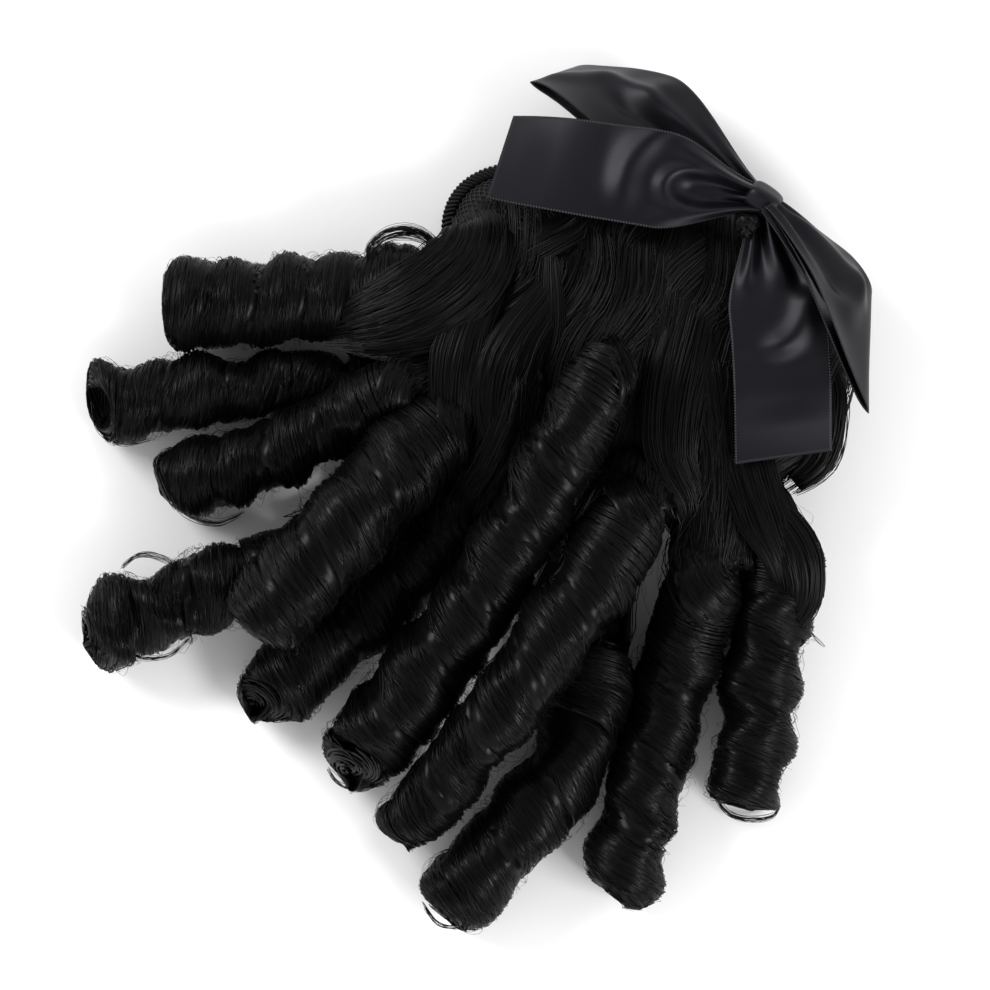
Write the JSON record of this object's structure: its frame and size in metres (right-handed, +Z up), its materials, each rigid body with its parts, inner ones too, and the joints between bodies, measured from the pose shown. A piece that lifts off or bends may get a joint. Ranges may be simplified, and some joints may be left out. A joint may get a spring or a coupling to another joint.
{
  "type": "ponytail hair extension",
  "caption": "Hairpiece of long black ringlets sewn over a small oval cap, with a black satin ribbon bow, lying spread out on a surface.",
  "frame": {"origin": "middle of the bounding box seen from above, on the surface that the hairpiece lies on", "axes": "+Z up from the surface, +Y towards the bow's end as the picture shows it from above, +X to the right"},
  "size_m": [0.3244, 0.3564, 0.0796],
  "materials": {
    "hair": "fine straight fibre with a soft gloss",
    "satin": "smooth satin weave with a fine selvage",
    "net": "matt knit"
  },
  "bodies": {
    "root": {"cap": "net", "cap_band": "net", "crown_hair": "hair", "ringlet_01": "hair", "ringlet_02": "hair", "ringlet_03": "hair", "ringlet_04": "hair", "ringlet_05": "hair", "ringlet_06": "hair", "ringlet_07": "hair", "ringlet_08": "hair", "ringlet_09": "hair", "ringlet_10": "hair", "ringlet_11": "hair", "bow_tail_left": "satin", "bow_tail_right": "satin", "bow_loop_left": "satin", "bow_loop_right": "satin", "bow_knot": "satin", "bow_gather": "net"}
  },
  "joints": []
}
